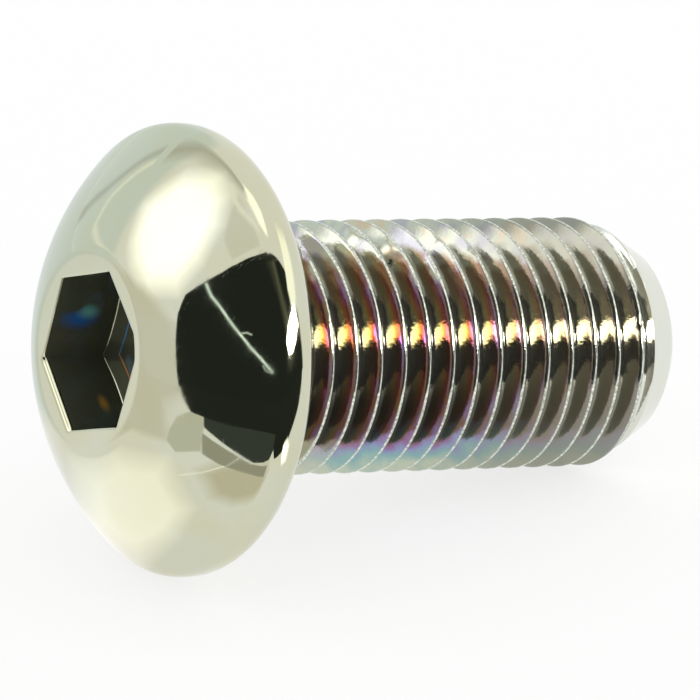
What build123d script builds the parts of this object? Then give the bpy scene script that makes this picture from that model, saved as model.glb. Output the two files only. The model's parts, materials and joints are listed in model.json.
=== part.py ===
from build123d import *
import math
import os

# Button head screw, one solid, in millimetres.
# It is modelled upright about Z, with the bearing face of the head at Z = 0, the dome above and the
# shank below, and is then laid on its rim and the end of its thread, as a loose screw comes to rest.
# The fine thread is kept as its outer cylinder, so that holes and nuts can be sized from it.

# Head
head_diameter = 16.6
head_height = 4.72
head_side_height = 1.35
crown_flat_diameter = 7.4
crown_blend = 1.2
shoulder_rounding = 0.8
rim_rounding = 0.85

# Hexagon socket
socket_across_flats = 5.56
socket_depth = 2.6
socket_floor_slope = 14.0
socket_mouth_bevel = 0.12
socket_turn = -6.9

# Shank
shank_length = 19.05
neck_diameter = 8.74
neck_length = 0.9
neck_fillet = 0.5
tip_diameter = 6.8
tip_length = 2.3

# Thread
thread_diameter = 9.42
thread_run_in = 0.6

head_radius = head_diameter / 2
thread_radius = thread_diameter / 2
neck_radius = neck_diameter / 2
thread_start = neck_length + thread_run_in
thread_end = shank_length - tip_length
rim_fillet = min(rim_rounding, 0.65 * head_side_height)


def dome_radius():
    """Radius of the sphere through the edge of the crown's flat and the top of the head's side."""
    crown = Vector(crown_flat_diameter / 2, head_height)
    side = Vector(head_radius, head_side_height)
    centre = (crown.length**2 - side.length**2) / (2 * (crown.Y - side.Y))
    return math.hypot(crown.X, crown.Y - centre)


def head_and_shank():
    """The turned form: dome, rolled rim, bearing face, neck, thread cylinder and pointed tip."""
    with BuildPart() as turned:
        with BuildSketch(Plane.XZ):
            with BuildLine():
                Polyline(
                    (0, head_height),
                    (0, -shank_length),
                    (tip_diameter / 2, -shank_length),
                    (thread_radius, -thread_end),
                    (thread_radius, -thread_start),
                    (neck_radius, -neck_length),
                    (neck_radius, 0),
                    (head_radius, 0),
                    (head_radius, head_side_height),
                )
                RadiusArc(
                    (head_radius, head_side_height),
                    (crown_flat_diameter / 2, head_height),
                    -dome_radius(),
                )
                Line((crown_flat_diameter / 2, head_height), (0, head_height))
            make_face()
        revolve(axis=Axis.Z)
        fillet(circle_at(turned, crown_flat_diameter / 2, head_height), crown_blend)
        fillet(circle_at(turned, head_radius, head_side_height), shoulder_rounding)
        fillet(circle_at(turned, head_radius, 0), rim_fillet)
        fillet(circle_at(turned, neck_radius, 0), neck_fillet)
    return turned.part


def circle_at(turned, radius, height):
    """The circular edge of this radius about the axis at this height."""
    circles = turned.edges().filter_by(GeomType.CIRCLE)
    return min(circles, key=lambda edge: math.hypot(edge.radius - radius, edge.arc_center.Z - height))


def socket():
    """What the punch takes out: a hexagon with a shallow cone below it and a bevelled mouth."""
    corner_radius = socket_across_flats / 2 / math.cos(math.radians(30))
    floor_drop = corner_radius * math.tan(math.radians(socket_floor_slope))
    floor = head_height - socket_depth
    hexagon = RegularPolygon(corner_radius, 6, rotation=socket_turn)
    walls = Pos(0, 0, floor - floor_drop) * extrude(hexagon, socket_depth + floor_drop)
    point = Pos(0, 0, floor - floor_drop) * Cone(
        0,
        corner_radius,
        floor_drop,
        align=(Align.CENTER, Align.CENTER, Align.MIN),
    )
    reach = Pos(0, 0, floor) * Cylinder(
        2 * corner_radius,
        2 * socket_depth,
        align=(Align.CENTER, Align.CENTER, Align.MIN),
    )
    mouth = loft(
        [
            Pos(0, 0, head_height - socket_mouth_bevel) * hexagon,
            Pos(0, 0, head_height + socket_mouth_bevel)
            * RegularPolygon(
                corner_radius + 2 * socket_mouth_bevel / math.cos(math.radians(30)),
                6,
                rotation=socket_turn,
            ),
        ]
    )
    return (walls & (point + reach)) + mouth


def lying_tilt():
    """Angle of the axis to the table when the rolled rim and the end of the thread both touch it."""
    drop = head_radius - rim_fillet - thread_radius
    run = thread_end + rim_fillet
    return math.degrees(math.atan2(drop, run) + math.asin(rim_fillet / math.hypot(drop, run)))


def lying(upright):
    """Lay the screw down with its tip towards +X, and stand the middle of its box on the origin."""
    laid = Rot(0, lying_tilt() - 90, 0) * upright
    box = laid.bounding_box()
    return Pos(-box.center().X, -box.center().Y, -box.min.Z) * laid


screw = lying(head_and_shank() - socket())
screw.label = "screw"

os.makedirs("parts", exist_ok=True)
export_step(screw, "parts/screw.step")
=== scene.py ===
import json
import math

import bpy
from mathutils import Matrix, Vector


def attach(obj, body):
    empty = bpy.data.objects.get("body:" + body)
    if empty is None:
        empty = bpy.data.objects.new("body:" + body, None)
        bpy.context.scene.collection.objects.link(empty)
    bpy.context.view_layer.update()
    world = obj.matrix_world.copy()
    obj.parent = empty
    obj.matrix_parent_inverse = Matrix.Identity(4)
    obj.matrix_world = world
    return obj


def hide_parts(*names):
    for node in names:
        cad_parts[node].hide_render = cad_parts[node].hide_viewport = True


bl_info = {
    "name": "Button head screw",
    "version": (1, 0, 0),
    "blender": (4, 5, 0),
    "location": "View3D > Sidebar > Screw",
    "description": "Builds a plated button head screw with its fine thread, and a small light tent round it",
    "category": "Add Mesh",
}

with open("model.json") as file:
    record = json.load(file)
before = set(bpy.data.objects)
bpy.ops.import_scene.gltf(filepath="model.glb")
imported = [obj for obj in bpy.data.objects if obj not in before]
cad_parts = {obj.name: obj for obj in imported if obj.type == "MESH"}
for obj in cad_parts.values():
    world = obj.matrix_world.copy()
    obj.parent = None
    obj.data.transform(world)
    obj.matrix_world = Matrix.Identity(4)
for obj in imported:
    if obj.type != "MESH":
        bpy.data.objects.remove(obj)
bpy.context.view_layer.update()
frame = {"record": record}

MM = 0.001
INCH = 25.4 * MM

# How many columns of points go round the screw, and the sharpest angle that is shaded smooth
COLUMNS = 192
SMOOTH_ANGLE = math.radians(38)

# The screw's place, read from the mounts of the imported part
MOUNTS = {mount["name"]: mount for mount in frame["record"]["mounts"]}
TIP = Vector(MOUNTS["tip_face"]["pos_m"])
AXIS = Vector(MOUNTS["tip_face"]["axis"]).normalized()
UP = Vector((-AXIS.z, 0, AXIS.x))
SIDE = Vector((0, 1, 0))
SHANK_LENGTH = (TIP - Vector(MOUNTS["bearing_face"]["pos_m"])).dot(AXIS)
HEAD_HEIGHT = (TIP - Vector(MOUNTS["key_socket"]["pos_m"])).dot(AXIS) - SHANK_LENGTH
THREAD_RADIUS = MOUNTS["thread"]["dims"]["r_mm"] * MM
THREAD_LENGTH = MOUNTS["thread"]["dims"]["length_mm"] * MM
THREAD_MIDDLE = (Vector(MOUNTS["thread"]["pos_m"]) - TIP).dot(AXIS) + SHANK_LENGTH
BEARING_CENTRE = TIP - AXIS * SHANK_LENGTH


def place(along, around, radius):
    """A point at this distance below the head, angle about the axis (from the top) and radius."""
    return BEARING_CENTRE + AXIS * along + (UP * math.cos(around) + SIDE * math.sin(around)) * radius


def length(name, description, default):
    """A size in metres for the sidebar."""
    return bpy.props.FloatProperty(name=name, description=description, default=default, unit="LENGTH")


def angle(name, description, degrees):
    """An angle for the sidebar, given in degrees."""
    return bpy.props.FloatProperty(
        name=name, description=description, default=math.radians(degrees), subtype="ANGLE"
    )


class HeadSizes(bpy.types.PropertyGroup):
    """Sizes of the domed head."""

    diameter: length("Diameter", "Across the rim", 16.595 * MM)
    height: length("Height", "From the bearing face to the crown", HEAD_HEIGHT)
    side_height: length("Side height", "Where the dome's curve would meet the rim's side", 1.35 * MM)
    crown_flat: length("Crown flat", "Across the flat round the socket", 7.4 * MM)
    crown_blend: length("Crown blend", "Rounding between the flat and the dome", 1.2 * MM)
    shoulder: length("Shoulder rounding", "Rounding between the dome and the side", 0.8 * MM)
    rim: length("Rim rounding", "Rounding between the side and the bearing face", 0.85 * MM)


class SocketSizes(bpy.types.PropertyGroup):
    """Sizes of the hexagon socket."""

    across_flats: length("Across flats", "Size of the key that fits", 5.56 * MM)
    depth: length("Depth", "From the crown to the floor at the corners", 2.6 * MM)
    bevel: length("Mouth bevel", "Width of the bevel at the mouth", 0.07 * MM)
    lip: length("Worn lip", "How much wider the bevel is on the worn side of the mouth", 0.20 * MM)
    bruise: length("Bruised edge", "How much wider the bevel is along the bruised edge", 0.14 * MM)
    bruise_turn: angle("Bruise turn", "Angle of the bruised edge's middle from the top", 143.1)
    lip_turn: angle("Lip turn", "Angle of the worn side from the top", -70)
    floor_round: length("Floor rounding", "Rounding between the walls and the floor", 0.045 * MM)
    corner_wear: length("Corner wear", "Rounding of the corner on the worn side of the mouth", 1.3 * MM)
    floor_slope: angle("Floor slope", "Slope of the conical floor", 14)
    turn: angle("Turn", "Angle of the first corner from the top", -6.9)


class ShankSizes(bpy.types.PropertyGroup):
    """Sizes of the neck, the thread and the pointed tip."""

    neck_diameter: length("Neck diameter", "Plain part under the head", 8.74 * MM)
    neck_length: length("Neck length", "Plain part under the head", 0.9 * MM)
    neck_fillet: length("Neck fillet", "Rounding between the neck and the head", 0.5 * MM)
    tip_diameter: length("Tip diameter", "Across the flat end", 6.8 * MM)
    tip_edge: length("Tip edge", "Rounding round the flat end", 0.42 * MM)
    pitch: length("Pitch", "From crest to crest, 24 to the inch", INCH / 24)
    first_crest: length("First crest", "Distance of a crest below the head at the thread's turn", 2.82 * MM)
    turn: angle("Thread turn", "Angle from the top at which the first crest is measured", -71.0)


def smooth_max(a, b, width):
    """The larger of two values, with the corner between them rounded over this width."""
    overlap = max(width - abs(a - b), 0.0) / width
    return max(a, b) + overlap * overlap * width / 4


def smooth_min(a, b, width):
    """The smaller of two values, with the corner between them rounded over this width."""
    return -smooth_max(-a, -b, width)


def ramp(value, start, end):
    """0 before start, 1 after end, and an even rise between them."""
    t = min(max((value - start) / (end - start), 0.0), 1.0)
    return t * t * (3 - 2 * t)


def arc(centre, radius, start, end, steps):
    """Points (radius, height) on an arc in the plane through the axis, angles in degrees."""
    points = []
    for step in range(steps + 1):
        turn = math.radians(start + (end - start) * step / steps)
        points.append((centre[0] + radius * math.cos(turn), centre[1] + radius * math.sin(turn)))
    return points


def line(start, end, steps):
    """Points between two points of the outline, without the first."""
    return [
        (start[0] + (end[0] - start[0]) * k / steps, start[1] + (end[1] - start[1]) * k / steps)
        for k in range(1, steps + 1)
    ]


# How many steps each part of the head's outline has
BLEND_STEPS = 9
DOME_STEPS = 34
SHOULDER_STEPS = 5
RIM_STEPS = 8
FACE_STEPS = 6
FILLET_STEPS = 7


def head_outline(head, shank):
    """The head's outline from the edge of the crown's flat to the neck, as (radius, height)."""
    crown = (head.crown_flat / 2, head.height)
    side = (head.diameter / 2, head.side_height)
    centre = (crown[0] ** 2 + crown[1] ** 2 - side[0] ** 2 - side[1] ** 2) / (2 * (crown[1] - side[1]))
    dome = math.hypot(crown[0], crown[1] - centre)

    blend_height = head.height - head.crown_blend
    blend = (math.sqrt((dome - head.crown_blend) ** 2 - (blend_height - centre) ** 2), blend_height)
    blend_angle = math.degrees(math.atan2(blend[1] - centre, blend[0]))

    shoulder_radius = side[0] - head.shoulder
    shoulder_height = centre + math.sqrt((dome - head.shoulder) ** 2 - shoulder_radius**2)
    shoulder = (shoulder_radius, shoulder_height)
    shoulder_angle = math.degrees(math.atan2(shoulder[1] - centre, shoulder[0]))

    neck = shank.neck_diameter / 2
    outline = arc(blend, head.crown_blend, 90, blend_angle, BLEND_STEPS)
    outline += arc((0, centre), dome, blend_angle, shoulder_angle, DOME_STEPS)[1:]
    outline += arc(shoulder, head.shoulder, shoulder_angle, 0, SHOULDER_STEPS)[1:]
    outline += arc((side[0] - head.rim, head.rim), head.rim, 0, -90, RIM_STEPS)
    fillet_start = neck + shank.neck_fillet
    outline += line(outline[-1], (fillet_start, 0), FACE_STEPS)
    outline += arc((fillet_start, -shank.neck_fillet), shank.neck_fillet, 90, 180, FILLET_STEPS)[1:]
    return outline


class ThreadForm:
    """The thread's surface: a rolled 60 degree form that runs out at the neck and on the tip."""

    crest_flat = 0.10
    root_flat = 0.17
    crest_rounding = 0.05
    root_rounding = 0.14
    flank_slope = 1 / math.tan(math.radians(30))

    # The thread grows from this many pitches before its start to this many after it
    run_out = (0.3, 0.9)

    # Widths over which the blank's run-in, its taper and the crests cut off by it are blended
    run_in_blend = 0.08 * MM
    taper_blend = 0.10 * MM
    crest_blend = 0.05 * MM

    # Nicks as distance below the head, angle, half length, half angle and depth
    nicks = (
        (2.66, -24, 0.10, 2.2, 0.14),
        (8.92, -11, 0.14, 2.5, 0.10),
        (10.05, -22, 0.16, 2.0, 0.12),
        (16.55, -62, 0.16, 1.6, 0.05),
        (16.40, -84, 0.12, 1.8, 0.06),
        (4.60, -98, 0.10, 1.6, 0.05),
    )
    # Smears where metal was pushed into the groove, as distance, angle, half length, half angle and share
    smears = ((5.75, -6, 0.50, 9, 0.75), (6.75, -17, 0.42, 8, 0.70))
    most_smeared = 0.9

    # A mark has no effect where it has fallen to exp(-6) of its strength
    mark_end = 6

    def __init__(self, shank):
        self.shank = shank
        self.start = THREAD_MIDDLE - THREAD_LENGTH / 2
        self.end = THREAD_MIDDLE + THREAD_LENGTH / 2
        self.depth = (1 - self.crest_flat - self.root_flat) / 2 * self.flank_slope * shank.pitch

    def crest(self, around):
        """Distance below the head of the crest number 0 at this angle, for a right-hand thread."""
        turns = (around - self.shank.turn) / (2 * math.pi)
        return self.shank.first_crest - turns * self.shank.pitch

    def groove(self, phase):
        """Depth below the crest at this phase, in pitches from a crest."""
        from_crest = abs(phase - round(phase))
        flank = (from_crest - self.crest_flat / 2) * self.flank_slope * self.shank.pitch
        rounded = smooth_max(flank, 0.0, self.crest_rounding * self.shank.pitch * self.flank_slope)
        return smooth_min(rounded, self.depth, self.root_rounding * self.shank.pitch * self.flank_slope)

    def blank(self, along):
        """Radius of the turned blank at this distance below the head."""
        neck = self.shank.neck_diameter / 2
        run_in = (along - self.shank.neck_length) / (self.start - self.shank.neck_length)
        near = neck + (THREAD_RADIUS - neck) * max(run_in, 0.0)
        taper = (THREAD_RADIUS - self.shank.tip_diameter / 2) / (SHANK_LENGTH - self.end)
        far = THREAD_RADIUS - taper * (along - self.end)
        return smooth_min(smooth_min(near, THREAD_RADIUS, self.run_in_blend), far, self.taper_blend)

    def mark(self, marks, along, around):
        """How strongly a list of marks acts at this place."""
        total = 0.0
        for below, turn, reach, spread, strength in marks:
            from_turn = (math.degrees(around) - turn + 180) % 360 - 180
            away = ((along / MM - below) / reach) ** 2 + (from_turn / spread) ** 2
            if away < self.mark_end:
                total += strength * math.exp(-away)
        return total

    def radius(self, along, around, phase):
        """Radius of the finished surface."""
        before, after = self.run_out
        grown = ramp(along, self.start - before * self.shank.pitch, self.start + after * self.shank.pitch)
        smeared = min(self.mark(self.smears, along, around), self.most_smeared)
        rolled = THREAD_RADIUS - self.groove(phase) * grown * (1 - smeared)
        trimmed = smooth_min(rolled, self.blank(along), self.crest_blend)
        return trimmed - self.mark(self.nicks, along, around) * MM


# The finishes of the screw's faces, in the order of its materials
BRIGHT = 0
RECESS = 1
THREAD = 2


class Skin:
    """One closed mesh, grown ring by ring or patch by patch."""

    def __init__(self):
        self.points = []
        self.faces = []
        self.finishes = []
        self.finish = BRIGHT

    def point(self, along, around, radius):
        self.points.append(place(along, around, radius))
        return len(self.points) - 1

    def face(self, *corners):
        """A face in the finish that is set at the moment."""
        self.faces.append(corners)
        self.finishes.append(self.finish)

    def ring(self, columns, radius_at, along_at):
        """A ring of points, one for each column."""
        return [self.point(along_at(around), around, radius_at(around)) for around in columns]

    def band(self, upper, lower):
        """Four-sided faces between two rings, of which upper is nearer the crown."""
        count = len(upper)
        for j in range(count):
            k = (j + 1) % count
            self.face(upper[j], upper[k], lower[k], lower[j])

    def cap(self, ring, centre, facing_crown):
        """Triangles from a ring to a middle point."""
        count = len(ring)
        for j in range(count):
            k = (j + 1) % count
            if facing_crown:
                self.face(ring[k], ring[j], centre)
            else:
                self.face(ring[j], ring[k], centre)


# Where each turn's rows of points lie, in pitches from its crest
THREAD_ROWS = (
    0.0, 0.035, 0.06, 0.085, 0.12, 0.18, 0.25, 0.32, 0.38, 0.42, 0.46,
    0.5, 0.54, 0.58, 0.62, 0.68, 0.75, 0.82, 0.88, 0.915, 0.94, 0.965,
)


def thread_patch(skin, columns, form, first, last, upper):
    """The threaded surface between two distances below the head, joined to the ring above it."""
    turns_up = math.ceil((form.crest(columns[0]) - first) / form.shank.pitch) + 1
    turns_down = math.ceil((last - form.crest(columns[-1])) / form.shank.pitch) + 1
    rows = [turn + share for turn in range(-turns_up, turns_down + 1) for share in THREAD_ROWS]
    per_turn = len(THREAD_ROWS)
    margin = 0.012 * MM

    lower = []
    strips = []
    for j, around in enumerate(columns):
        crest = form.crest(around)
        strip = {}
        for i, phase in enumerate(rows):
            along = crest + phase * form.shank.pitch
            if first + margin < along < last - margin:
                strip[i] = skin.point(along, around, form.radius(along, around, phase))
        strips.append(strip)
        phase = (last - crest) / form.shank.pitch
        lower.append(skin.point(last, around, form.radius(last, around, phase)))

    count = len(columns)
    for j in range(count):
        k = (j + 1) % count
        here = strips[j]
        there = strips[k]
        if k == 0:
            there = {i + per_turn: point for i, point in there.items()}
        join_strips(skin, here, there, (upper[j], upper[k]), (lower[j], lower[k]))
    return lower


def join_strips(skin, here, there, top, bottom):
    """Fill between two neighbouring columns of the thread, whose rows carry the same numbers."""
    both = sorted(set(here) & set(there))
    for i, k in zip(both[:-1], both[1:]):
        skin.face(here[i], there[i], there[k], here[k])
    before_here = [here[i] for i in sorted(here) if i < both[0]]
    before_there = [there[i] for i in sorted(there) if i < both[0]]
    fan(skin, [top[0]] + before_here + [here[both[0]]], [top[1]] + before_there + [there[both[0]]])
    after_here = [here[i] for i in sorted(here) if i > both[-1]]
    after_there = [there[i] for i in sorted(there) if i > both[-1]]
    fan(skin, [here[both[-1]]] + after_here + [bottom[0]], [there[both[-1]]] + after_there + [bottom[1]])


def fan(skin, left, right):
    """Fill between two runs of points that start and end side by side."""
    i = 0
    k = 0
    while i < len(left) - 1 or k < len(right) - 1:
        if i == len(left) - 1:
            skin.face(left[i], right[k], right[k + 1])
            k += 1
        elif k == len(right) - 1:
            skin.face(left[i], right[k], left[i + 1])
            i += 1
        elif len(left) - i == len(right) - k:
            skin.face(left[i], right[k], right[k + 1], left[i + 1])
            i += 1
            k += 1
        elif len(left) - i > len(right) - k:
            skin.face(left[i], right[k], left[i + 1])
            i += 1
        else:
            skin.face(left[i], right[k], right[k + 1])
            k += 1


def mouth_bevel(socket, around):
    """Width of the mouth's bevel at this angle, wider on the worn side and along the bruised edge."""
    bruise_end = math.cos(math.radians(33))
    bruise_full = math.cos(math.radians(27))
    bruised = ramp(math.cos(around - socket.bruise_turn), bruise_end, bruise_full)
    worn = max(math.cos(around - socket.lip_turn), 0.0) ** 1.5
    return socket.bevel + socket.lip * worn + socket.bruise * bruised


def hexagon_radius(socket, around, inset=0.0, worn=0.0):
    """Distance from the axis to the socket's wall at this angle, with a share of the mouth's wear."""
    apothem = socket.across_flats / 2 - inset
    from_flat = abs((around - socket.turn) % math.radians(60) - math.radians(30))
    radius = apothem / math.cos(from_flat)
    wear = worn * socket.corner_wear * max(math.cos(around - socket.lip_turn), 0.0) ** 4
    if wear <= 0:
        return radius
    next_side = apothem / math.cos(math.radians(60) - from_flat)
    return smooth_min(radius, next_side, wear)


# How many rings each part round and in the socket has
FLAT_RINGS = 6
MOUTH_STEPS = 5
WALL_RINGS = 9
ROUND_RINGS = 4
FLOOR_STEPS = 9


def socket_patch(skin, columns, head, socket, upper_radius):
    """The crown's flat, the bevelled mouth, the walls and the conical floor of the socket."""
    corner = socket.across_flats / 2 / math.cos(math.radians(30))

    def floor_height(radius):
        return head.height - socket.depth - (corner - radius) * math.tan(socket.floor_slope)

    rings = []
    for step in range(FLAT_RINGS):
        share = step / FLAT_RINGS
        rings.append(
            skin.ring(
                columns,
                lambda t, s=share: (1 - s) * upper_radius
                + s * hexagon_radius(socket, t, -mouth_bevel(socket, t), 1.0),
                lambda t: -head.height,
            )
        )
    for step in range(MOUTH_STEPS + 1):
        turn = math.radians(90 * step / MOUTH_STEPS)
        out = 1 - math.sin(turn)
        down = 1 - math.cos(turn)
        rings.append(
            skin.ring(
                columns,
                lambda t, o=out: hexagon_radius(socket, t, -o * mouth_bevel(socket, t), o),
                lambda t, d=down: -(head.height - d * mouth_bevel(socket, t)),
            )
        )
    for step in range(1, WALL_RINGS + 1):
        share = step / WALL_RINGS
        rings.append(
            skin.ring(
                columns,
                lambda t: hexagon_radius(socket, t),
                lambda t, s=share: -(
                    (1 - s) * (head.height - mouth_bevel(socket, t))
                    + s * (floor_height(hexagon_radius(socket, t)) + socket.floor_round)
                ),
            )
        )
    for step in range(1, ROUND_RINGS + 1):
        turn = math.radians(90 * step / ROUND_RINGS)
        inset = socket.floor_round * (1 - math.cos(turn))
        drop = socket.floor_round * math.sin(turn)
        rings.append(
            skin.ring(
                columns,
                lambda t, i=inset: hexagon_radius(socket, t, i),
                lambda t, d=drop: -(
                    floor_height(hexagon_radius(socket, t)) + socket.floor_round - d
                ),
            )
        )
    for step in range(1, FLOOR_STEPS):
        share = 1 - step / FLOOR_STEPS
        rings.append(
            skin.ring(
                columns,
                lambda t, s=share: s * hexagon_radius(socket, t, socket.floor_round),
                lambda t, s=share: -floor_height(s * hexagon_radius(socket, t, socket.floor_round)),
            )
        )
    walls = FLAT_RINGS + MOUTH_STEPS
    floor = walls + WALL_RINGS + ROUND_RINGS
    # The rounding between the walls and the floor takes the bright plating, as a worn edge and as a painted
    # highlight line along the floor's edge
    worn_and_highlit_edge = range(walls + WALL_RINGS + 1, floor)
    for i, (lower, upper) in enumerate(zip(rings[:-1], rings[1:])):
        skin.finish = BRIGHT if i < walls or i in worn_and_highlit_edge else RECESS
        skin.band(upper, lower)
    skin.finish = RECESS
    middle = skin.point(-floor_height(0.0), 0.0, 0.0)
    skin.cap(rings[-1], middle, True)
    skin.finish = BRIGHT
    return rings[0]


# How many rings the tip's rounded edge and its flat end have
EDGE_RINGS = 3
END_STEPS = 5


def screw_skin(head, socket, shank):
    """The whole screw as one closed mesh."""
    skin = Skin()
    columns = [socket.turn + 2 * math.pi * j / COLUMNS for j in range(COLUMNS)]
    outline = head_outline(head, shank)
    ring = socket_patch(skin, columns, head, socket, outline[0][0])
    for radius, height in outline[1:]:
        lower = skin.ring(columns, lambda t, r=radius: r, lambda t, h=height: -h)
        skin.band(ring, lower)
        ring = lower
    form = ThreadForm(shank)
    edge = shank.tip_edge
    skin.finish = THREAD
    ring = thread_patch(skin, columns, form, shank.neck_fillet, SHANK_LENGTH - edge, ring)
    tip_radius = shank.tip_diameter / 2
    for step in range(1, EDGE_RINGS + 1):
        turn = math.radians(90 * step / EDGE_RINGS)
        inset = edge * (1 - math.cos(turn))
        lower = skin.ring(
            columns,
            lambda t, i=inset: tip_radius - i,
            lambda t, s=turn: SHANK_LENGTH - edge * (1 - math.sin(s)),
        )
        skin.band(ring, lower)
        ring = lower
    for step in range(1, END_STEPS):
        lower = skin.ring(
            columns,
            lambda t, s=step: (tip_radius - edge) * (1 - s / END_STEPS),
            lambda t: SHANK_LENGTH,
        )
        skin.band(ring, lower)
        ring = lower
    skin.cap(ring, skin.point(SHANK_LENGTH, 0.0, 0.0), False)
    return skin


class Wiring:
    """Short ways to add nodes to a tree. A value is a number, a colour or another node's output."""

    def __init__(self, tree):
        self.tree = tree

    def put(self, socket, value):
        if isinstance(value, bpy.types.NodeSocket):
            self.tree.links.new(value, socket)
        else:
            socket.default_value = value

    def node(self, kind, values=None, **settings):
        node = self.tree.nodes.new(kind)
        for name, value in settings.items():
            setattr(node, name, value)
        for key, value in (values or {}).items():
            self.put(node.inputs[key], value)
        return node

    def calc(self, operation, *values):
        return self.node("ShaderNodeMath", dict(enumerate(values)), operation=operation).outputs[0]

    def vector(self, operation, *values):
        node = self.node("ShaderNodeVectorMath", dict(enumerate(values)), operation=operation)
        return node.outputs["Value" if operation == "DOT_PRODUCT" else "Vector"]

    def fade(self, value, start, end, low=0.0, high=1.0):
        """Low before start and high after end, smooth between them."""
        values = {"Value": value, "From Min": start, "From Max": end, "To Min": low, "To Max": high}
        return self.node("ShaderNodeMapRange", values, interpolation_type="SMOOTHSTEP").outputs[0]

    def turn_fade(self, turn, start, end, low=0.0, high=1.0):
        """A fade between two angles that are given in degrees."""
        return self.fade(turn, math.radians(start), math.radians(end), low, high)

    def stir(self, value, noise, amount):
        """The value, with up to half this amount added or taken away by the noise."""
        return self.calc("MULTIPLY_ADD", self.calc("SUBTRACT", noise, 0.5), amount, value)

    def mix(self, share, first, second):
        return self.node("ShaderNodeMix", {0: share, 6: first, 7: second}, data_type="RGBA").outputs[2]

    def noise(self, where, scale, detail=2.0):
        return self.node("ShaderNodeTexNoise", {"Vector": where, "Scale": scale, "Detail": detail}).outputs[0]

    def group(self, tree, values=None):
        node = self.node("ShaderNodeGroup", node_tree=tree)
        for key, value in (values or {}).items():
            self.put(node.inputs[key], value)
        return node.outputs


def new_group(name, inputs, outputs):
    """An empty node group with these sockets, its wiring, its inputs and its output node."""
    tree = bpy.data.node_groups.new(name, "ShaderNodeTree")
    for direction_name, sockets in (("INPUT", inputs), ("OUTPUT", outputs)):
        for label, kind in sockets.items():
            tree.interface.new_socket(label, in_out=direction_name, socket_type="NodeSocket" + kind)
    wiring = Wiring(tree)
    given = wiring.node("NodeGroupInput").outputs
    return tree, wiring, given, wiring.node("NodeGroupOutput")


def screw_places():
    """Where a point lies on the screw: distance below the head, angle, radius and place, in millimetres."""
    name = "screw places"
    if name in bpy.data.node_groups:
        return bpy.data.node_groups[name]
    outputs = {"Along": "Float", "Around": "Float", "Radius": "Float", "Place": "Vector"}
    tree, wiring, _, out = new_group(name, {}, outputs)
    coordinates = wiring.node("ShaderNodeTexCoord").outputs["Object"]
    from_head = wiring.vector("SUBTRACT", coordinates, tuple(BEARING_CENTRE))
    place_mm = wiring.vector("MULTIPLY", from_head, (1 / MM, 1 / MM, 1 / MM))
    along = wiring.vector("DOT_PRODUCT", place_mm, tuple(AXIS))
    above = wiring.vector("DOT_PRODUCT", place_mm, tuple(UP))
    aside = wiring.vector("DOT_PRODUCT", place_mm, tuple(SIDE))
    square = wiring.calc("ADD", wiring.calc("MULTIPLY", above, above), wiring.calc("MULTIPLY", aside, aside))
    wiring.put(out.inputs["Along"], along)
    wiring.put(out.inputs["Around"], wiring.calc("ARCTAN2", aside, above))
    wiring.put(out.inputs["Radius"], wiring.calc("SQRT", square))
    wiring.put(out.inputs["Place"], place_mm)
    return tree


def fine_marks():
    """Fine grain and short hairline marks of a plated surface, as roughness and height."""
    name = "fine marks"
    if name in bpy.data.node_groups:
        return bpy.data.node_groups[name]
    inputs = {
        "Place": "Vector",
        "Grain per mm": "Float",
        "Least Roughness": "Float",
        "Most Roughness": "Float",
    }
    tree, wiring, given, out = new_group(name, inputs, {"Roughness": "Float", "Height": "Float"})
    grain = wiring.noise(given["Place"], given["Grain per mm"], 3.0)
    cloud = wiring.noise(given["Place"], 0.55, 4.0)
    stretched = wiring.vector("MULTIPLY", given["Place"], (1.0, 9.0, 1.6))
    hairline = wiring.fade(wiring.noise(stretched, 2.6, 3.0), 0.66, 0.72)
    spread = wiring.calc("SUBTRACT", given["Most Roughness"], given["Least Roughness"])
    both = wiring.calc("ADD", wiring.calc("MULTIPLY", grain, 0.4), wiring.calc("MULTIPLY", cloud, 0.6))
    dulled = wiring.fade(both, 0.35, 0.65)
    rough = wiring.calc("MULTIPLY_ADD", spread, dulled, given["Least Roughness"])
    wiring.put(out.inputs["Roughness"], wiring.calc("MULTIPLY_ADD", hairline, 0.03, rough))
    wiring.put(out.inputs["Height"], wiring.calc("MULTIPLY_ADD", hairline, -0.25, grain))
    return tree


def marks_on(wiring, places, grain, least, most):
    """The fine marks with this much grain for each millimetre, between these two roughnesses."""
    values = {
        "Place": places["Place"],
        "Grain per mm": grain,
        "Least Roughness": least,
        "Most Roughness": most,
    }
    return wiring.group(fine_marks(), values)


# Colours of the thin film by its thickness
FILM_COLOURS = (
    (0.00, (0.20, 0.205, 0.155)),
    (0.18, (0.25, 0.220, 0.125)),
    (0.34, (0.28, 0.175, 0.070)),
    (0.46, (0.26, 0.110, 0.070)),
    (0.56, (0.30, 0.170, 0.36)),
    (0.66, (0.28, 0.330, 0.52)),
    (0.80, (0.26, 0.460, 0.46)),
    (1.00, (0.54, 0.600, 0.47)),
)


def heat_film():
    """Colours of the thin film that the bath leaves where the plating hardly reaches."""
    name = "thin film"
    if name in bpy.data.node_groups:
        return bpy.data.node_groups[name]
    tree, wiring, given, out = new_group(name, {"Thickness": "Float"}, {"Colour": "Color"})
    ramp_node = wiring.node("ShaderNodeValToRGB", {0: given["Thickness"]})
    elements = ramp_node.color_ramp.elements
    for step, (position, tint) in enumerate(FILM_COLOURS):
        element = elements[step] if step < 2 else elements.new(position)
        element.position = position
        element.color = (*tint, 1)
    wiring.put(out.inputs["Colour"], ramp_node.outputs[0])
    return tree


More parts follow.
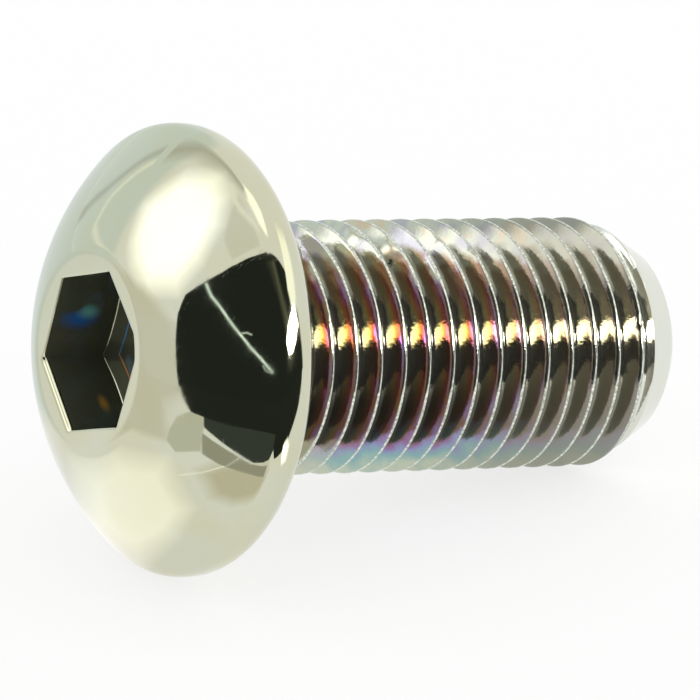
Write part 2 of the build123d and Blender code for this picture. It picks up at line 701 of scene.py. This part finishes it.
def metal(name, bump_mm):
    """A metal material with its wiring, its shader, its bump node and the places on the screw."""
    material = bpy.data.materials.new(name)
    material.use_nodes = True
    wiring = Wiring(material.node_tree)
    shader = material.node_tree.nodes["Principled BSDF"]
    shader.inputs["Metallic"].default_value = 1
    bump = wiring.node("ShaderNodeBump", {"Strength": 1.0, "Distance": bump_mm * MM})
    wiring.put(shader.inputs["Normal"], bump.outputs[0])
    places = wiring.group(screw_places())
    return material, wiring, shader, bump, places


def haze(shader, grime, coat):
    """A weak, dull coat and a share of grime, as in the places that aren't wiped."""
    shader.inputs["Metallic"].default_value = 1 - grime
    shader.inputs["Coat Weight"].default_value = coat
    shader.inputs["Coat Roughness"].default_value = 0.7


# Colours of the plating and the steel, and of the film and the glints that the photo shows on them
PLATING = (0.620, 0.618, 0.455, 1)
COOL_PLATING = (0.625, 0.640, 0.505, 1)
BARE_STEEL = (0.115, 0.130, 0.080, 1)
BLUE_FILM = (0.02, 0.22, 0.80, 1)
TEAL_FILM = (0.25, 0.60, 0.50, 1)
PALE_BLUE_FILM = (0.22, 0.45, 0.62, 1)
AMBER_FILM = (0.80, 0.40, 0.04, 1)
BLUE_GLINT = (0.12, 0.42, 0.95, 1)
ORANGE_GLINT = (0.90, 0.36, 0.12, 1)
SHADE = (0, 0, 0, 1)
CREAM_FLANK = (0.60, 0.57, 0.47, 1)
GREY_FLANK = (0.47, 0.46, 0.49, 1)
GREEN_FLANK = (0.58, 0.60, 0.49, 1)
TAN_FLANK = (0.66, 0.53, 0.37, 1)
THIN_PLATING = (0.27, 0.265, 0.205, 1)
TIP_PLATING = (0.72, 0.74, 0.66, 1)
WORN_DARK = (0.42, 0.46, 0.40, 1)
WORN_BRIGHT = (0.80, 0.84, 0.74, 1)

# The painted glint line along the floor of the socket, in millimetres from the axis, and the height where it
# starts
GLINT_LINE_RADIUS = 2.10
GLINT_LINE_EDGE = (0.04, 0.01)
FLOOR_TOP = (-2.75, -2.65)


def bright_plating():
    """Mirror-bright plating with a faint haze and hairlines, as on the head."""
    material, wiring, shader, bump, places = metal("bright_plating", bump_mm=0.0006)
    marks = marks_on(wiring, places, grain=1.6, least=0.03, most=0.075)
    cloud = wiring.noise(places["Place"], 0.35, 3.0)
    cooler = wiring.fade(cloud, 0.35, 0.65)
    wiring.put(shader.inputs["Base Color"], wiring.mix(cooler, PLATING, COOL_PLATING))
    wiring.put(shader.inputs["Roughness"], marks["Roughness"])
    wiring.put(bump.inputs["Height"], marks["Height"])
    return material


def flat_turn(step):
    """Angle from the top at which this one of the hexagon's three pairs of flats faces."""
    return bpy.context.scene.screw_socket.turn + math.radians(30 + 60 * step)


def flat_distance(wiring, places, turn):
    """Distance from the axis, in millimetres, towards this angle from the top."""
    facing = UP * math.cos(turn) + SIDE * math.sin(turn)
    return wiring.vector("DOT_PRODUCT", places["Place"], tuple(facing))


def spot(wiring, place_mm, centre, reach, tilt):
    """A soft patch round a place on the screw, in millimetres, tilted about the sideways axis in degrees."""
    values = {"Vector": place_mm, "Location": centre, "Rotation": (0, math.radians(tilt), 0), "Scale": reach}
    near = wiring.node("ShaderNodeMapping", values, vector_type="TEXTURE").outputs[0]
    away = wiring.node("ShaderNodeVectorMath", {0: near}, operation="LENGTH").outputs["Value"]
    return wiring.fade(away, 1.0, 0.0)


def recess_plating():
    """The nearly bare inside of the socket, with patches of thin film and a fine line along its floor in
    painted glints.
    """
    material, wiring, shader, bump, places = metal("recess_plating", bump_mm=0.0008)
    haze(shader, grime=0.34, coat=0.25)
    marks = marks_on(wiring, places, grain=3.0, least=0.05, most=0.12)
    cloud = wiring.noise(places["Place"], 0.75, 2.0)
    film = wiring.group(heat_film(), {"Thickness": wiring.fade(cloud, 0.30, 0.75)})["Colour"]
    share = wiring.fade(wiring.noise(places["Place"], 0.45, 1.0), 0.52, 0.72, 0.06, 0.45)
    bare = wiring.mix(share, BARE_STEEL, film)
    blue = spot(wiring, places["Place"], (-3.40, 2.75, 1.00), (1.05, 0.90, 0.60), 13)
    teal = spot(wiring, places["Place"], (-3.05, 2.75, 1.18), (0.70, 0.80, 0.42), 13)
    covered = spot(wiring, places["Place"], (-3.68, 2.68, 1.85), (0.95, 0.90, 0.85), 0)
    uncovered = wiring.fade(covered, 0.45, 0.15)
    bare = wiring.mix(wiring.calc("MULTIPLY", blue, uncovered), bare, BLUE_FILM)
    bare = wiring.mix(wiring.calc("MULTIPLY", teal, uncovered), bare, TEAL_FILM)
    across = wiring.calc("ABSOLUTE", flat_distance(wiring, places, flat_turn(0)))
    for step in (1, 2):
        further = wiring.calc("ABSOLUTE", flat_distance(wiring, places, flat_turn(step)))
        across = wiring.calc("MAXIMUM", across, further)
    deep = wiring.fade(places["Along"], *FLOOR_TOP)
    # Painted glints along a fine line on the socket's floor, blue on the arm nearer the top and orange on the
    # other
    off_glint = wiring.calc("ABSOLUTE", wiring.calc("SUBTRACT", across, GLINT_LINE_RADIUS))
    painted_glint = wiring.calc("MULTIPLY", wiring.fade(off_glint, *GLINT_LINE_EDGE), deep)
    turned = wiring.turn_fade(places["Around"], 108, 118)
    bare = wiring.mix(painted_glint, bare, wiring.mix(turned, BLUE_GLINT, ORANGE_GLINT))
    inner = wiring.calc("MULTIPLY", wiring.fade(across, 2.06, 1.96), deep)
    inner = wiring.calc("MULTIPLY", inner, wiring.fade(cloud, 0.45, 0.60, 0.0, 0.6))
    bare = wiring.mix(inner, bare, PALE_BLUE_FILM)
    amber = spot(wiring, places["Place"], (-3.27, 1.24, -1.85), (0.30, 0.60, 0.42), 0)
    wiring.put(shader.inputs["Base Color"], wiring.mix(amber, bare, AMBER_FILM))
    wiring.put(shader.inputs["Roughness"], marks["Roughness"])
    wiring.put(bump.inputs["Height"], marks["Height"])
    return material


def thread_plating(shank):
    """The rolled thread: bright, grainy crests, and flanks with brown, gold and blue film."""
    material, wiring, shader, bump, places = metal("thread_plating", bump_mm=0.0035)
    haze(shader, grime=0.02, coat=0.30)
    around = places["Around"]
    root = (THREAD_RADIUS - ThreadForm(shank).depth) / MM
    height = wiring.fade(places["Radius"], root, THREAD_RADIUS / MM)
    crest = wiring.fade(places["Radius"], THREAD_RADIUS / MM - 0.045, THREAD_RADIUS / MM - 0.018)
    blotches = wiring.noise(places["Place"], 0.9, 4.0)
    patches = wiring.noise(places["Place"], 0.62, 2.0)
    grain = wiring.noise(places["Place"], 11.0, 3.0)

    # The film on the flanks, thicker towards the crests and in shade on the lower side
    thickness = wiring.stir(wiring.fade(height, 0.10, 0.95, -0.02, 0.50), blotches, 0.45)
    film = wiring.group(heat_film(), {"Thickness": thickness})["Colour"]
    lower = wiring.turn_fade(around, -80, -104)
    shade = wiring.calc("MULTIPLY", lower, wiring.calc("MULTIPLY_ADD", height, -0.50, 0.75))
    film = wiring.mix(wiring.calc("ADD", shade, 0.10), film, SHADE)

    # The thicker deposit on the underside, behind a frayed edge, and cream towards the head
    slanted = wiring.calc("MULTIPLY_ADD", height, -0.30, around)
    frayed = wiring.stir(wiring.stir(slanted, grain, 0.10), blotches, 0.30)
    deposit = wiring.stir(wiring.turn_fade(frayed, -122, -166, 0.54, 1.0), patches, 0.5)
    under = wiring.group(heat_film(), {"Thickness": deposit})["Colour"]
    under = wiring.mix(wiring.fade(places["Along"], 5.5, 2.0), under, CREAM_FLANK)
    film = wiring.mix(wiring.turn_fade(frayed, -127, -133), film, under)

    # The pale upper side, also behind a torn edge
    torn = wiring.calc("MULTIPLY_ADD", height, 0.45, wiring.stir(around, blotches, 0.9))
    warm = wiring.mix(wiring.fade(patches, 0.38, 0.52), GREY_FLANK, GREEN_FLANK)
    pale = wiring.mix(wiring.fade(patches, 0.55, 0.68), warm, TAN_FLANK)
    film = wiring.mix(wiring.turn_fade(torn, -14, 2), film, pale)

    # Less film towards the tip, none on its end, and bright worn crests
    thinning = wiring.fade(places["Along"], 7.0, 15.0, 0.0, 0.80)
    film = wiring.mix(thinning, film, THIN_PLATING)
    flank = wiring.mix(wiring.fade(places["Along"], 16.8, 17.1), film, TIP_PLATING)
    worn = wiring.mix(wiring.fade(grain, 0.38, 0.62), WORN_DARK, WORN_BRIGHT)
    wiring.put(shader.inputs["Base Color"], wiring.mix(crest, flank, worn))

    marks = marks_on(wiring, places, grain=9.0, least=0.035, most=0.09)
    wiring.put(shader.inputs["Roughness"], wiring.calc("MULTIPLY_ADD", crest, 0.07, marks["Roughness"]))
    rough_crest = wiring.calc("MULTIPLY_ADD", wiring.calc("MULTIPLY", grain, crest), 1.3, marks["Height"])
    wiring.put(bump.inputs["Height"], rough_crest)
    return material


class SCREW_OT_add_screw(bpy.types.Operator):
    """Add the screw: domed head, hexagon socket, fine thread and pointed tip in one mesh"""

    bl_idname = "screw.add_screw"
    bl_label = "Add the screw"

    def execute(self, context):
        scene = context.scene
        skin = screw_skin(scene.screw_head, scene.screw_socket, scene.screw_shank)
        mesh = bpy.data.meshes.new("finished_screw")
        mesh.from_pydata([tuple(point) for point in skin.points], [], skin.faces)
        if mesh.validate():
            raise RuntimeError("the screw's mesh had faults")
        mesh.shade_smooth()
        piece = bpy.data.objects.new("finished_screw", mesh)
        scene.collection.objects.link(piece)
        mesh.set_sharp_from_angle(angle=SMOOTH_ANGLE)
        for finish in (bright_plating(), recess_plating(), thread_plating(scene.screw_shank)):
            mesh.materials.append(finish)
        mesh.polygons.foreach_set("material_index", skin.finishes)
        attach(piece, "root")
        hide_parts("screw")
        return {"FINISHED"}


class StageSizes(bpy.types.PropertyGroup):
    """The camera and the light tent."""

    camera_azimuth: angle("Camera azimuth", "Direction of the camera, 0 along +Y", -148.64)
    camera_elevation: angle("Camera elevation", "Height of the camera above the horizon", 23.4)
    camera_distance: length("Camera distance", "From the bearing face's middle", 298.6 * MM)
    camera_aside: length("Camera aside", "To the right of the bearing face's middle", 5.536 * MM)
    camera_upward: length("Camera upward", "Above the bearing face's middle", -0.018 * MM)
    floor_size: length("Floor size", "Side of the square floor", 1.2)
    pixels_per_radian: bpy.props.FloatProperty(
        name="Magnification", description="Pixels for each radian at 700 pixels wide", default=8165
    )


PICTURE_WIDTH = 700

# Share of plain white in the floor where it is seen or mirrored
FLOOR_GLOW = 0.75

# A card's lift above the floor at one metre, and the reach within which a card is laid on the floor
CARD_LIFT = 0.1 * MM
FLOOR_REACH = 0.6


def direction(azimuth, elevation):
    """Unit vector towards this azimuth (0 along +Y, 90 along +X) and elevation, in degrees."""
    a = math.radians(azimuth)
    e = math.radians(elevation)
    return Vector((math.cos(e) * math.sin(a), math.cos(e) * math.cos(a), math.sin(e)))


def add_camera(scene):
    """The camera of the photograph, level and without shift."""
    sizes = scene.screw_stage
    back = direction(math.degrees(sizes.camera_azimuth), math.degrees(sizes.camera_elevation))
    right = Vector((0, 0, 1)).cross(back).normalized()
    up = back.cross(right)
    data = bpy.data.cameras.new("camera")
    data.sensor_width = 36
    data.lens = sizes.pixels_per_radian * data.sensor_width / PICTURE_WIDTH
    data.clip_start = 0.01
    data.clip_end = 10
    camera = bpy.data.objects.new("camera", data)
    where = BEARING_CENTRE + right * sizes.camera_aside + up * sizes.camera_upward
    where += back * sizes.camera_distance
    rotation = Matrix((right, up, back)).transposed().to_4x4()
    camera.matrix_world = Matrix.Translation(where) @ rotation
    scene.collection.objects.link(camera)
    scene.camera = camera


def add_world(scene):
    """A plain white room."""
    world = bpy.data.worlds.new("white room")
    world.use_nodes = True
    background = world.node_tree.nodes["Background"]
    background.inputs["Color"].default_value = (1, 1, 1, 1)
    background.inputs["Strength"].default_value = 1
    scene.world = world


def add_floor(scene, size):
    """A white floor under the screw, partly a plain light to the camera and in the metal."""
    mesh = bpy.data.meshes.new("floor")
    half = size / 2
    corners = [(-half, -half, 0), (half, -half, 0), (half, half, 0), (-half, half, 0)]
    mesh.from_pydata(corners, [], [(0, 1, 2, 3)])
    material = bpy.data.materials.new("white_floor")
    material.use_nodes = True
    nodes = material.node_tree.nodes
    shader = nodes["Principled BSDF"]
    shader.inputs["Base Color"].default_value = (0.98, 0.98, 0.98, 1)
    shader.inputs["Roughness"].default_value = 0.9
    shader.inputs["Specular IOR Level"].default_value = 0
    wiring = Wiring(material.node_tree)
    seen = wiring.node("ShaderNodeLightPath").outputs
    seen_as_white = wiring.calc("MAXIMUM", seen["Is Camera Ray"], seen["Is Glossy Ray"])
    seen_as_white = wiring.calc("MAXIMUM", seen_as_white, seen["Is Transmission Ray"])
    white = wiring.node("ShaderNodeEmission", {"Color": (1, 1, 1, 1), "Strength": 1})
    share = wiring.calc("MULTIPLY", seen_as_white, FLOOR_GLOW)
    blend = wiring.node("ShaderNodeMixShader", {0: share, 1: shader.outputs[0], 2: white.outputs[0]})
    wiring.put(nodes["Material Output"].inputs["Surface"], blend.outputs[0])
    mesh.materials.append(material)
    floor = bpy.data.objects.new("floor", mesh)
    scene.collection.objects.link(floor)


def card_point(towards, distance):
    """Where a card's point in this direction from the dome's front hangs, or lies if the floor is near.

    A nearer card lies a little higher above the floor than a farther one."""
    middle = place(-3.0 * MM, math.radians(-96), 6.3 * MM)
    floor = (middle.z - CARD_LIFT / distance) / max(-towards.z, 1e-6)
    return tuple(middle + towards * (floor if floor < FLOOR_REACH else distance))


def add_card(scene, name, corners, distance, tint, soft):
    """A card that only the metal reflects, given by its corners' directions, with a soft edge.

    A corner may have a third number, the share of the card's light that is left there."""
    edge = [direction(*corner[:2]) for corner in corners]
    rest = [corner[2] if len(corner) > 2 else 0.0 for corner in corners]
    centre = sum(edge, Vector()) / len(edge)
    shares = (0.0, soft) if soft else (0.0,)
    points = [
        card_point(towards.lerp(centre, share).normalized(), distance)
        for share in shares
        for towards in edge
    ]
    count = len(edge)
    faces = [tuple(range(len(points) - count, len(points)))]
    if soft:
        faces += [(j, (j + 1) % count, count + (j + 1) % count, count + j) for j in range(count)]
    hang(scene, name, points, faces, rest * (len(shares) - 1) + [1.0] * count, tint)


def hang(scene, name, points, faces, shine, tint):
    """Hang a card of these faces, with a share of its light at each point."""
    mesh = bpy.data.meshes.new(name)
    mesh.from_pydata(points, [], faces)
    mesh.attributes.new("glow", "FLOAT", "POINT").data.foreach_set("value", shine)
    mesh.materials.append(card_light(name, tint))
    card = bpy.data.objects.new(name, mesh)
    card.visible_camera = False
    card.visible_diffuse = False
    card.visible_shadow = False
    scene.collection.objects.link(card)


def card_light(name, tint):
    """A card's own light, which fades out towards its edge."""
    material = bpy.data.materials.new(name)
    material.use_nodes = True
    nodes = material.node_tree.nodes
    nodes.remove(nodes["Principled BSDF"])
    wiring = Wiring(material.node_tree)
    light = wiring.node("ShaderNodeEmission", {"Color": (*tint, 1)})
    clear = wiring.node("ShaderNodeBsdfTransparent")
    glow = wiring.node("ShaderNodeAttribute", attribute_name="glow").outputs["Fac"]
    blend = wiring.node("ShaderNodeMixShader", {0: glow, 1: clear.outputs[0], 2: light.outputs[0]})
    wiring.put(nodes["Material Output"].inputs["Surface"], blend.outputs[0])
    return material


def add_band(scene, name, path, width, distance, tint):
    """A narrow card along a path of directions, which fades out towards both sides."""
    rows = ([], [], [])
    for k, (azimuth, elevation) in enumerate(path):
        before = path[max(k - 1, 0)]
        after = path[min(k + 1, len(path) - 1)]
        level = math.cos(math.radians(elevation))
        run = Vector(((after[0] - before[0]) * level, after[1] - before[1])).normalized()
        for side, row in zip((-1, 0, 1), rows):
            aside = side * width / 2
            row.append(direction(azimuth - aside * run.y / level, elevation + aside * run.x))
    points = [card_point(towards, distance) for row in rows for towards in row]
    count = len(path)
    faces = []
    for j in range(count - 1):
        for first in (j, j + count):
            faces.append((first, first + 1, first + 1 + count, first + count))
    hang(scene, name, points, faces, [0.0] * count + [1.0] * count + [0.0] * count, tint)


# The cards of the light tent, as (name, corners as azimuth and elevation in degrees, distance in metres,
# tint, soft share of the edge). A corner's third number is the share of light that is left there.
# The nearer card covers the farther one.
CARDS = (
    (
        "side_light",
        (
            (-50, 20), (-40, 22), (-26, 28), (-18, 42), (-24, 58), (-49, 63), (-74, 57), (-84, 42),
            (-82, 27), (-66, 19),
        ),
        3.2, (1.95, 1.95, 2.0), 0.42,
    ),
    (
        "tent_fold",
        ((-49, 64), (-87, 65), (-106, 59), (-95, 49), (-80, 53)),
        3.0, (0.86, 0.86, 0.82), 0.12,
    ),
    (
        "tent_top",
        ((-22, 70), (-58, 67), (-95, 67), (-125, 70), (-152, 74), (-240, 84), (30, 81)),
        2.9, (1.7, 1.7, 1.6), 0.25,
    ),
    (
        "cool_side",
        (
            (-38, -0.6, 1), (-46, 12), (-30, 27), (-14, 41), (-4, 48), (14, 48), (32, 38), (40, 18),
            (34, -0.6, 1),
        ),
        3.1, (0.80, 0.87, 0.88), 0.3,
    ),
    (
        "cool_foot",
        ((-38, -0.5, 1), (34, -0.5, 1), (24, -15), (0, -24), (-30, -21)),
        0.59, (0.78, 0.84, 0.85), 0.4,
    ),
    (
        "warm_side",
        ((-96, -0.6, 1), (-90, 20), (-62, 24), (-42, 14), (-38, -0.6, 1)),
        3.1, (0.82, 0.80, 0.74), 0.35,
    ),
    (
        "warm_foot",
        ((-96, -0.5, 1), (-38, -0.5, 1), (-34, -14), (-60, -21), (-92, -24)),
        0.59, (0.80, 0.78, 0.72), 0.4,
    ),
    (
        "floor_light",
        ((-84, -27), (-50, -25), (-15, -27), (8, -35), (5, -55), (-40, -68), (-88, -58)),
        0.58, (1.36, 1.34, 1.34), 0.5,
    ),
    (
        "floor_tan",
        (
            (-92, -34), (-104, -29), (-122, -26), (-146, -24), (-158, -34), (-146, -52), (-116, -60),
            (-94, -54),
        ),
        0.57, (0.72, 0.67, 0.54), 0.5,
    ),
    (
        "tent_opening",
        (
            (-83, 30, 1), (-88, 37, 1), (-93, 43, 1), (-103, 53, 1), (-114, 59, 1), (-127, 57),
            (-138, 52), (-155, 50), (-178, 49), (-200, 47), (-224, 43), (-228, 28), (-223, 12),
            (-222, -0.6, 1), (-93, -0.6, 1), (-89, 11, 1), (-84, 23, 1),
        ),
        2.4, (0.020, 0.024, 0.020), 0.08,
    ),
    (
        "opening_foot",
        (
            (-93, 0.6), (-125, 0.6), (-155, 0.6), (-185, 0.6), (-220, 0.6), (-216, -12), (-207, -25),
            (-188, -29), (-163, -29), (-147, -21), (-139, -13), (-127, -11), (-104, -9), (-98, -8),
            (-95, -4),
        ),
        0.6, (0.022, 0.026, 0.022), 0.0,
    ),
    (
        "opening_light",
        (
            (-158, 26), (-170, 19), (-190, 16), (-208, 15.5), (-222, 19), (-222, 29), (-200, 33),
            (-173, 32),
        ),
        0.6, (36.0, 35.0, 32.0), 0.2,
    ),
    (
        "opening_edge",
        (
            (-210, 14), (-220, 20), (-233, 29), (-250, 36), (-266, 40), (-266, 51), (-242, 53),
            (-218, 50), (-200, 44), (-204, 34),
        ),
        0.62, (1.5, 1.5, 1.36), 0.35,
    ),
    (
        "floor_glint",
        ((-188, -23), (-205, -22), (-214, -27), (-217, -36), (-208, -38), (-195, -32)),
        0.5, (2.4, 2.4, 2.3), 0.4,
    ),
    (
        "lower_dark",
        (
            (-104, -9), (-127, -11), (-142, -12), (-148, -22), (-142, -26), (-130, -28), (-118, -22),
            (-104, -13),
        ),
        0.5, (0.053, 0.062, 0.056), 0.0,
    ),
    (
        "tan_panel",
        ((-97, -8), (-104, -9), (-104, -13), (-101, -25), (-86, -27), (-83, -22), (-86, -17), (-91, -11)),
        0.5, (0.68, 0.68, 0.60), 0.04,
    ),
    (
        "tan_strip",
        (
            (-102, -15), (-117, -23), (-129, -29), (-142, -29.5), (-142, -37), (-127, -35), (-110, -31),
            (-101, -26),
        ),
        0.5, (0.42, 0.41, 0.34), 0.06,
    ),
)

# Narrow bands of the same tent, as (name, path of directions, width in degrees, distance, tint)
BANDS = (
    (
        "bright_cord",
        (
            (-89, 38), (-95, 35), (-101, 33), (-106, 30.5), (-112, 27), (-117, 24), (-121, 21),
            (-126, 17.5), (-131.5, 12.5),
        ),
        1.3, 0.4, (1.6, 1.85, 1.8),
    ),
    ("cord_branch", ((-115.5, 25.7), (-118, 26.4), (-120.5, 26)), 1.0, 0.39, (0.9, 1.0, 0.95)),
    ("cord_end", ((-127, 15), (-128.5, 13), (-131, 12.5)), 0.8, 0.39, (0.7, 0.8, 0.75)),
    ("fold_line", ((-38, 61), (-57, 63), (-69, 64), (-98, 64)), 3.0, 1.9, (1.15, 1.15, 1.1)),
    (
        "fold_shade",
        ((-3, -1.2), (-4, 3), (-6, 9), (-6, 14), (-5, 20), (-5, 26)),
        5.0, 1.9, (0.60, 0.63, 0.64),
    ),
    (
        "opening_veil",
        ((-134, 60), (-142, 53), (-152, 46), (-164, 39), (-176, 34)),
        24.0, 0.58, (0.13, 0.13, 0.09),
    ),
    (
        "upper_shade",
        ((-7, 30), (-8, 37), (-10, 44), (-15, 51), (-22, 59), (-32, 65), (-42, 69)),
        10.0, 1.8, (0.60, 0.60, 0.55),
    ),
    (
        "inner_fold",
        ((-9, 26), (-10, 20), (-12, 13), (-17, 9), (-28, 12), (-40, 16)),
        3.5, 1.7, (1.06, 1.08, 1.03),
    ),
    (
        "pale_line",
        ((-122, -26), (-116, -31), (-108, -34), (-99, -37), (-91, -38), (-83, -39)),
        0.7, 0.5, (1.5, 1.5, 1.45),
    ),
)


class SCREW_OT_add_stage(bpy.types.Operator):
    """Add the camera, the white room, the floor and the cards of the light tent"""

    bl_idname = "screw.add_stage"
    bl_label = "Add the stage"

    def execute(self, context):
        scene = context.scene
        add_camera(scene)
        add_world(scene)
        add_floor(scene, scene.screw_stage.floor_size)
        for name, corners, distance, tint, soft in CARDS:
            add_card(scene, name, corners, distance, tint, soft)
        for name, path, width, distance, tint in BANDS:
            add_band(scene, name, path, width, distance, tint)
        scene.view_settings.view_transform = "Standard"
        return {"FINISHED"}


class SCREW_PT_panel(bpy.types.Panel):
    """The screw's operators in the sidebar"""

    bl_idname = "SCREW_PT_panel"
    bl_label = "Button head screw"
    bl_space_type = "VIEW_3D"
    bl_region_type = "UI"
    bl_category = "Screw"

    def draw(self, context):
        for operator in (SCREW_OT_add_screw, SCREW_OT_add_stage):
            self.layout.operator(operator.bl_idname)


GROUPS = {
    "screw_head": HeadSizes,
    "screw_socket": SocketSizes,
    "screw_shank": ShankSizes,
    "screw_stage": StageSizes,
}
OTHER_CLASSES = (SCREW_OT_add_screw, SCREW_OT_add_stage, SCREW_PT_panel)


def register():
    for name, group in GROUPS.items():
        bpy.utils.register_class(group)
        setattr(bpy.types.Scene, name, bpy.props.PointerProperty(type=group))
    for item in OTHER_CLASSES:
        bpy.utils.register_class(item)


def unregister():
    for item in reversed(OTHER_CLASSES):
        bpy.utils.unregister_class(item)
    for name, group in reversed(GROUPS.items()):
        delattr(bpy.types.Scene, name)
        bpy.utils.unregister_class(group)


def main():
    register()
    bpy.ops.screw.add_screw()
    bpy.ops.screw.add_stage()


if __name__ == "__main__":
    main()
